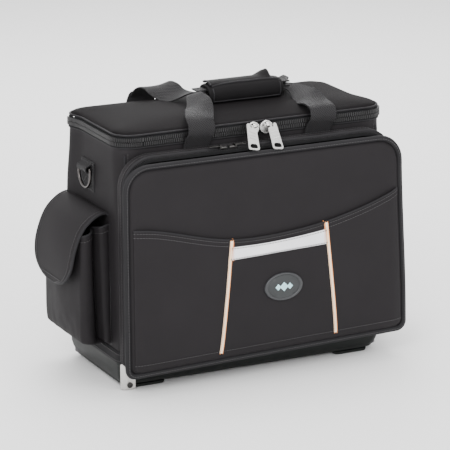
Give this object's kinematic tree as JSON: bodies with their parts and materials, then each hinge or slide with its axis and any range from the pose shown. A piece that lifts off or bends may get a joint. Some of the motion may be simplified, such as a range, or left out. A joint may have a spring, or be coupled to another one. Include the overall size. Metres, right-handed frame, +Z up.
{
  "type": "tool bag",
  "caption": "Soft-sided technician's tool bag with a zip lid, fold-down front panel, flap pockets on both ends, moulded base tray and a padded carry grip.",
  "frame": {"origin": "on the floor under the middle of the whole bag's box, straps and pockets included", "axes": "+X to the bag's right as you face its front, +Y towards its back, +Z up"},
  "size_m": [0.5226, 0.2405, 0.404],
  "materials": {
    "nylon": "tightly woven coated nylon, soft satin sheen",
    "lining": "matt woven lining over board or foam",
    "webbing": "ribbed nylon webbing, matt",
    "padding": "smooth padded wrap with bound edges",
    "moulding": "moulded plastic with a fine grain, satin",
    "board": "smooth board under a thin lining",
    "zip_coil": "nylon coil zip on woven tape",
    "touch_tape": "hook and loop tape, matt",
    "nickel": "bright nickel plate, lightly brushed",
    "dark_steel": "dark nickel plate",
    "reflective": "silver reflective tape",
    "trim": "pale trim cord with an orange thread",
    "badge": "soft rubber plate with a raised rim",
    "badge_motif": "pale blue inlay"
  },
  "bodies": {
    "root": {"base_tub": "moulding", "corner_guard_front_left": "nickel", "corner_rivet_front_left": "dark_steel", "base_board": "board", "divider_board": "lining", "divider_loops": "webbing", "front_wall": "nylon", "rear_wall": "nylon", "left_wall": "nylon", "right_wall": "nylon", "body_zip_tape": "zip_coil", "lid_hinge_binding": "nylon", "front_gusset": "nylon", "front_zip": "zip_coil", "rear_pocket": "nylon", "left_pocket": "nylon", "right_pocket": "nylon", "left_pocket_loop_tape": "touch_tape", "right_pocket_loop_tape": "touch_tape", "left_ring_tab": "webbing", "right_ring_tab": "webbing", "strap_anchor_front_left": "webbing", "strap_anchor_front_right": "webbing", "strap_anchor_rear_left": "webbing", "strap_anchor_rear_right": "webbing"},
    "lid": {"lid_panel": "nylon", "lid_border": "zip_coil", "lid_stiffener": "lining"},
    "rear_handle": {"rear_handle_webbing": "webbing", "grip_wrap": "padding"},
    "front_handle": {"front_handle_webbing": "webbing"},
    "lid_slider_left": {"lid_slider_left": "nickel"},
    "lid_slider_right": {"lid_slider_right": "nickel"},
    "lid_pull_left": {"lid_pull_left": "nickel"},
    "lid_pull_right": {"lid_pull_right": "nickel"},
    "front_slider_left": {"front_slider_left": "dark_steel"},
    "front_slider_right": {"front_slider_right": "dark_steel"},
    "front_pull_left": {"front_pull_left": "dark_steel"},
    "front_pull_right": {"front_pull_right": "dark_steel"},
    "front_panel": {"panel_core": "nylon", "panel_border": "webbing", "panel_organiser": "lining", "front_pocket": "nylon", "reflective_strip": "reflective", "trim_cord_left": "trim", "trim_cord_right": "trim", "badge_plate": "badge", "badge_motif": "badge_motif"},
    "left_flap": {"left_flap": "nylon", "left_flap_hook_tape": "touch_tape"},
    "right_flap": {"right_flap": "nylon", "right_flap_hook_tape": "touch_tape"},
    "left_ring": {"left_ring": "nickel"},
    "right_ring": {"right_ring": "nickel"}
  },
  "joints": [
    {"name": "lid_hinge", "type": "hinge", "parent": "root", "child": "lid", "pos_m": [0, 0.11095, 0.352], "axis": [-1, 0, 0], "range_deg": [0, 105]},
    {"name": "rear_handle_lift", "type": "hinge", "parent": "lid", "child": "rear_handle", "pos_m": [0, 0.11495, 0.3525], "axis": [-1, 0, 0], "range_deg": [0, 95], "deforming": ["rear_handle_webbing"]},
    {"name": "front_handle_swing", "type": "hinge", "parent": "root", "child": "front_handle", "pos_m": [0, -0.07405, 0.35], "axis": [1, 0, 0], "range_deg": [0, 165], "deforming": ["front_handle_webbing"]},
    {"name": "front_panel_hinge", "type": "hinge", "parent": "root", "child": "front_panel", "pos_m": [0, -0.09235, 0.036], "axis": [1, 0, 0], "range_deg": [0, 90]},
    {"name": "left_flap_hinge", "type": "hinge", "parent": "root", "child": "left_flap", "pos_m": [-0.201, 0.03695, 0.247], "axis": [0, 1, 0], "range_deg": [0, 70]},
    {"name": "right_flap_hinge", "type": "hinge", "parent": "root", "child": "right_flap", "pos_m": [0.201, 0.03695, 0.247], "axis": [0, -1, 0], "range_deg": [0, 70]},
    {"name": "left_ring_hinge", "type": "hinge", "parent": "root", "child": "left_ring", "pos_m": [-0.2074, 0.03795, 0.296], "axis": [0, 1, 0], "range_deg": [0, 150]},
    {"name": "right_ring_hinge", "type": "hinge", "parent": "root", "child": "right_ring", "pos_m": [0.2074, 0.03795, 0.296], "axis": [0, -1, 0], "range_deg": [0, 150]},
    {"name": "lid_slider_left_slide", "type": "slide", "parent": "root", "child": "lid_slider_left", "axis": [1, 0, 0], "range_m": [-0.15, 0]},
    {"name": "lid_slider_right_slide", "type": "slide", "parent": "root", "child": "lid_slider_right", "axis": [1, 0, 0], "range_m": [0, 0.14]},
    {"name": "lid_pull_left_hinge", "type": "hinge", "parent": "lid_slider_left", "child": "lid_pull_left", "pos_m": [0, -0.07745, 0.3575], "axis": [-1, 0, 0], "range_deg": [0, 80]},
    {"name": "lid_pull_right_hinge", "type": "hinge", "parent": "lid_slider_right", "child": "lid_pull_right", "pos_m": [0.02, -0.07745, 0.3575], "axis": [-1, 0, 0], "range_deg": [0, 80]},
    {"name": "front_slider_left_slide", "type": "slide", "parent": "root", "child": "front_slider_left", "axis": [1, 0, 0], "range_m": [-0.096, 0]},
    {"name": "front_slider_right_slide", "type": "slide", "parent": "root", "child": "front_slider_right", "axis": [1, 0, 0], "range_m": [0, 0.189]},
    {"name": "front_pull_left_hinge", "type": "hinge", "parent": "front_slider_left", "child": "front_pull_left", "pos_m": [-0.06, -0.09055, 0.3392], "axis": [0, 1, 0], "range_deg": [0, 160]},
    {"name": "front_pull_right_hinge", "type": "hinge", "parent": "front_slider_right", "child": "front_pull_right", "pos_m": [-0.037, -0.09055, 0.3392], "axis": [0, -1, 0], "range_deg": [0, 160]}
  ],
  "couplings": [
    {"joint": "front_handle_swing", "follows": "lid_hinge", "ratio": 1.57}
  ]
}
